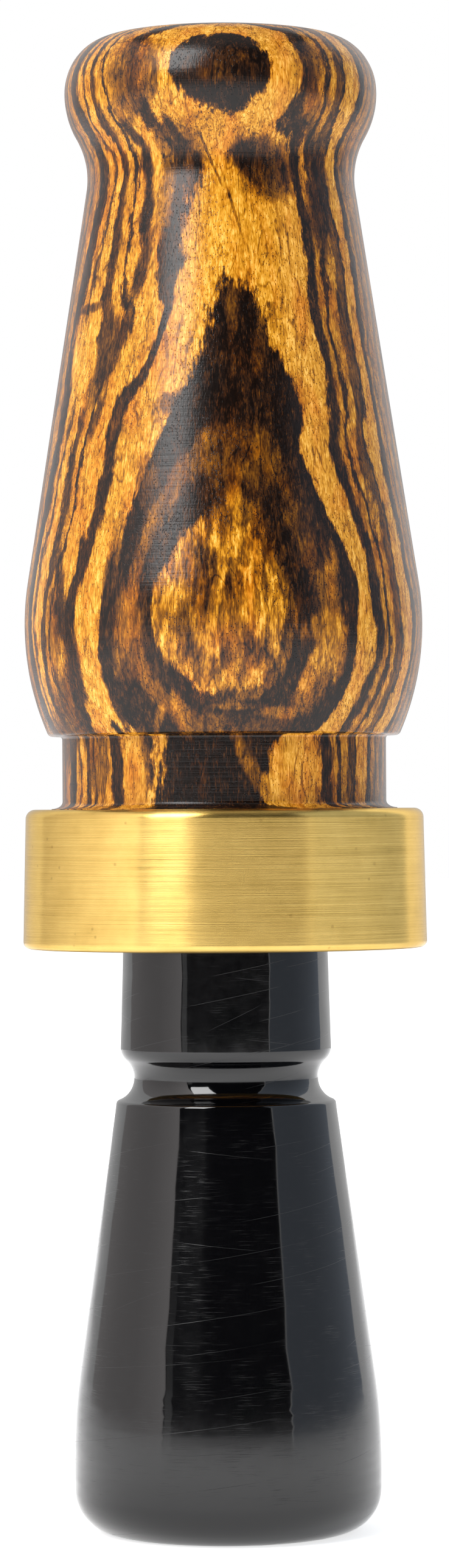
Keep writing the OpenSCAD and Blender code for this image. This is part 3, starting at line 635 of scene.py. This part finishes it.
def merged_copy(node_name, crease_deg=32.0, cuts=()):
    """Copies a CAD node's mesh, joins its triangles, cuts it at the given heights and marks sharp edges."""
    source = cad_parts[node_name]
    mesh = bpy.data.meshes.new(node_name + "_finished")
    bm = bmesh.new()
    bm.from_mesh(source.data)
    bmesh.ops.remove_doubles(bm, verts=bm.verts, dist=0.000002)
    for height in cuts:
        geometry = bm.verts[:] + bm.edges[:] + bm.faces[:]
        bmesh.ops.bisect_plane(
            bm, geom=geometry, dist=0.0000001, plane_co=(0, 0, height), plane_no=(0, 0, 1))
    for face in bm.faces:
        face.smooth = True
    for edge in bm.edges:
        edge.smooth = edge.calc_face_angle(0.0) < math.radians(crease_deg)
    bm.to_mesh(mesh)
    bm.free()
    if "custom_normal" in mesh.attributes:
        mesh.attributes.remove(mesh.attributes["custom_normal"])
    mesh.materials.clear()
    piece = bpy.data.objects.new(node_name + "_finished", mesh)
    bpy.context.collection.objects.link(piece)
    return piece


def dress(piece, node_name, material):
    """Gives a piece its material and puts it in its CAD node's place."""
    piece.data.materials.append(material)
    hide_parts(node_name)


def even_shading(piece):
    """Lets the large faces set the shading, so long cones keep straight reflections by their roundings."""
    weighted = piece.modifiers.new("even_shading", "WEIGHTED_NORMAL")
    weighted.mode = "FACE_AREA"
    weighted.weight = 50
    weighted.keep_sharp = True


wood = bocote()
brass = satin_brass()
acrylic = black_acrylic()
film = frosted_film()
cork = cut_cork()
rubber = moulded_rubber()

barrel = merged_copy("barrel")
dress(barrel, "barrel", wood)
even_shading(barrel)
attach(barrel, "barrel")

band = merged_copy("band")
dress(band, "band", brass)
even_shading(band)
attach(band, "barrel")

# Rings of cuts up the tenon, past the tip, keep the shading of the tone board's long facets even
FIRST_CUT = 0.058
CUT_SPACING = 0.0025
CUT_COUNT = 25
tenon_cuts = [FIRST_CUT + CUT_SPACING * step for step in range(CUT_COUNT)]
insert = merged_copy("insert", crease_deg=14.0, cuts=tenon_cuts)
dress(insert, "insert", acrylic)
even_shading(insert)
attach(insert, "insert")

wedge = merged_copy("cork_wedge")
dress(wedge, "cork_wedge", cork)
rounding = wedge.modifiers.new("soft_edges", "BEVEL")
rounding.width = 0.00018
rounding.segments = 3
rounding.limit_method = "ANGLE"
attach(wedge, "insert")

# Rings of cuts along the free part of the reeds, from the cork's front edge to the lower reed's tip
REED_STEPS = 26
reed_cuts = [CLAMP + (REED_TIP - CLAMP) * step / REED_STEPS for step in range(REED_STEPS + 1)]
for reed_name in ("lower_reed", "upper_reed"):
    reed = merged_copy(reed_name, cuts=reed_cuts)
    dress(reed, reed_name, film)
    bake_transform(reed)

for ring_name in ("lower_o_ring", "upper_o_ring"):
    ring = merged_copy(ring_name)
    dress(ring, ring_name, rubber)
    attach(ring, "o_rings")


# Studio: a white sweep, a panel each side, of which the left one dims towards the back, a narrow light near
# each panel's front edge, a white wall behind, an even light overhead, and one softbox up and left of the
# camera

def studio_floor():
    """White sweep paper, which glows enough to look even and dims in the shade of the piece."""
    half_width = 4.0
    mesh = bpy.data.meshes.new("studio_floor")
    bm = bmesh.new()
    bmesh.ops.create_grid(bm, x_segments=1, y_segments=1, size=half_width)
    bm.to_mesh(mesh)
    bm.free()
    floor = bpy.data.objects.new("studio_floor", mesh)
    bpy.context.collection.objects.link(floor)
    material, tree, place = start_material("white_sweep_paper")
    axes = add(tree, "SeparateXYZ", [place])
    back = add(tree, "MapRange", {
        "Value": axes.outputs["Y"], "From Min": -20.0, "From Max": 120.0, "To Min": 1.25, "To Max": 0.65})
    # Under the band and the flare the paper lies in their shade
    reach = add(tree, "VectorMath", [place], operation="LENGTH").outputs["Value"]
    shade = add(tree, "MapRange", {"Value": reach, "From Min": 60.0, "From Max": 20.0, "To Max": -0.45})
    back = add(tree, "Math", [back, shade], operation="ADD")
    beyond = add(tree, "MapRange", {
        "Value": axes.outputs["Y"], "From Min": 650.0, "From Max": 720.0, "To Max": 0.4})
    glow = add(tree, "Math", [back, beyond], operation="ADD")
    shader = add(tree, "BsdfPrincipled", {
        "Base Color": colour("e6e6e6"), "Roughness": 0.9, "Specular IOR Level": 0.1,
        "Emission Color": colour("ffffff"), "Emission Strength": glow})
    finish_material(tree, shader)
    mesh.materials.append(material)


def glowing_sheet(name, centre, turn, width, height, tint, levels):
    """A tall sheet that glows unevenly along its width, seen in reflections and not by the camera.

    levels holds a place in mm, along Y for a sheet at the side and along X for one behind, and a brightness.
    """
    mesh = bpy.data.meshes.new(name)
    bm = bmesh.new()
    bmesh.ops.create_grid(bm, x_segments=1, y_segments=1, size=0.5)
    bmesh.ops.scale(bm, vec=(width, height, 1.0), verts=bm.verts)
    bmesh.ops.rotate(bm, matrix=Matrix.Rotation(QUARTER_TURN, 3, "X"), verts=bm.verts)
    bmesh.ops.rotate(bm, matrix=Matrix.Rotation(turn, 3, "Z"), verts=bm.verts)
    bmesh.ops.translate(bm, vec=centre, verts=bm.verts)
    bm.to_mesh(mesh)
    bm.free()
    sheet = bpy.data.objects.new(name, mesh)
    bpy.context.collection.objects.link(sheet)
    sheet.visible_camera = False
    material, tree, place = start_material(name + "_cloth")
    axes = add(tree, "SeparateXYZ", [place])
    reach_mm = 1000.0
    most = 4.0
    along = axes.outputs["Y" if turn else "X"]
    share = add(tree, "MapRange", {"Value": along, "From Min": -reach_mm, "From Max": reach_mm})
    ramp = add(tree, "ValToRGB", [share])
    set_ramp(ramp.color_ramp, [
        (0.5 + at / (2 * reach_mm), (level / most, level / most, level / most, 1.0)) for at, level in levels])
    # The cloth is lit from above, so it grows brighter with height
    top_gain = 1.7
    rise = add(tree, "MapRange", {
        "Value": axes.outputs["Z"], "From Min": 0.0, "From Max": 1200.0, "To Min": most,
        "To Max": top_gain * most})
    strength = add(tree, "Math", [ramp.outputs["Color"], rise], operation="MULTIPLY")
    glow = add(tree, "Emission", {"Color": colour(tint), "Strength": strength})
    finish_material(tree, glow)
    mesh.materials.append(material)


def panel(name, centre, facing, width, height, brightness):
    """An even rectangular light, seen in reflections and not by the camera."""
    light = bpy.data.lights.new(name, "AREA")
    light.shape = "RECTANGLE"
    light.size = width
    light.size_y = height
    light.energy = brightness * math.pi * width * height
    lamp = bpy.data.objects.new(name, light)
    bpy.context.collection.objects.link(lamp)
    lamp.location = centre
    lamp.rotation_euler = facing
    lamp.visible_camera = False


studio_floor()
glowing_sheet("left_panel", (-0.7, -0.0115, 0.6), QUARTER_TURN, 1.157, 1.2, "fff9f8",
              [(-590, 1.95), (-150, 1.29), (567, 0.72)])
glowing_sheet("right_panel", (0.7, -0.03, 0.6), QUARTER_TURN, 1.12, 1.2, "e2eeff",
              [(-590, 0.72), (-150, 0.66), (530, 0.74)])
glowing_sheet("back_wall", (0.0, 0.72, 0.6), 0.0, 1.9, 1.2, "ffffff",
              [(-900, 1.15), (-450, 0.92), (0, 0.5), (450, 1.08), (900, 1.42)])
panel("left_panel_frame", (-0.66, -0.64, 0.08), (QUARTER_TURN, 0, -math.radians(46)), 0.09, 0.16, 0.6)
panel("right_panel_edge", (0.69, -0.592, 0.5), (QUARTER_TURN, 0, math.radians(49.5)), 0.016, 1.0, 1.7)
panel("ceiling", (0.0, -0.1, 1.35), (0, 0, 0), 1.2, 1.2, 0.7)

# The softbox aims at the middle of the piece from above and from the left
SOFTBOX_TURN = math.radians(-34.3)
SOFTBOX_RISE = math.radians(38.0)
SOFTBOX_DISTANCE = 0.9
AIM_HEIGHT = 0.065
softbox_place = (SOFTBOX_DISTANCE * math.cos(SOFTBOX_RISE) * math.sin(SOFTBOX_TURN),
                 -SOFTBOX_DISTANCE * math.cos(SOFTBOX_RISE) * math.cos(SOFTBOX_TURN),
                 AIM_HEIGHT + SOFTBOX_DISTANCE * math.sin(SOFTBOX_RISE))
panel("softbox", softbox_place, (QUARTER_TURN - SOFTBOX_RISE, 0, SOFTBOX_TURN), 0.36, 0.62, 12.0)

# The camera sees a white room, and the pieces mirror an almost dark one
world = bpy.data.worlds.new("white_room")
bpy.context.scene.world = world
world.use_nodes = True
room = world.node_tree
room.nodes.clear()
path = add(room, "LightPath")
seen = add(room, "MapRange", {"Value": path.outputs["Is Camera Ray"], "To Min": 0.02, "To Max": 1.0})
sky = add(room, "Background", {"Color": colour("ffffff"), "Strength": seen})
add(room, "OutputWorld", {"Surface": sky})

# The camera stands 450 mm away, level with the band's top, and leans a third of a degree as the photo does
CAMERA_PLACE = (0.0, -0.45, 0.06254)
CAMERA_TILT = math.radians(0.248)
CAMERA_LEAN = math.radians(0.33)
camera_data = bpy.data.cameras.new("camera")
camera_data.sensor_width = 36.0
camera_data.lens = 119.49
camera_data.clip_start = 0.01
camera = bpy.data.objects.new("camera", camera_data)
bpy.context.collection.objects.link(camera)
camera.location = CAMERA_PLACE
camera.rotation_euler = (QUARTER_TURN + CAMERA_TILT, CAMERA_LEAN, 0.0)
bpy.context.scene.camera = camera

bpy.context.scene.view_settings.view_transform = "Standard"
